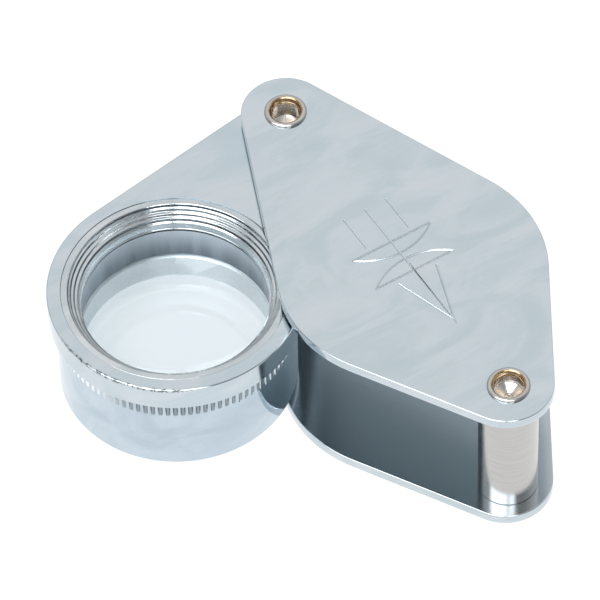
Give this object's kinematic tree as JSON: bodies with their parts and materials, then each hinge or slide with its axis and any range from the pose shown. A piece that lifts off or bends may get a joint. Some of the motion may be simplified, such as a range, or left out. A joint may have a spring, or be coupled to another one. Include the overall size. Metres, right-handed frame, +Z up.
{
  "type": "folding pocket magnifier",
  "caption": "Folding pocket magnifier: a round doublet lens barrel on an arm swings out from between two flat, almond-shaped metal cover plates joined by two posts.",
  "frame": {"origin": "underside of the bottom cover, on the lens axis of the folded magnifier", "axes": "+X from the pivot post to the end post, +Z up through the covers, lens swung out towards -Y"},
  "size_m": [0.051, 0.0477, 0.0176],
  "materials": {
    "chrome_plate": "polished chrome plate with faint buffing marks",
    "chrome_turned": "turned and chrome plated",
    "nickel_plated_brass": "nickel plated brass, polished",
    "spring_steel": "bright spring steel",
    "satin_nickel": "nickel plated brass, satin",
    "optical_glass": "polished crown glass"
  },
  "bodies": {
    "case": {"bottom_cover": "chrome_plate", "top_cover": "chrome_plate", "pivot_post": "nickel_plated_brass", "end_post": "nickel_plated_brass", "pivot_sleeve": "nickel_plated_brass", "thrust_washer": "nickel_plated_brass", "spring_washer": "spring_steel"},
    "lens_unit": {"lens_holder": "chrome_turned", "funnel_ring": "chrome_turned", "lens_barrel": "chrome_turned", "upper_lens": "optical_glass", "lens_spacer": "satin_nickel", "lower_lens": "optical_glass", "lower_retaining_ring": "satin_nickel"}
  },
  "joints": [
    {"name": "lens_swing", "type": "hinge", "parent": "case", "child": "lens_unit", "pos_m": [-0.0242, 0, 0.014], "axis": [0, 0, 1], "continuous": true}
  ]
}
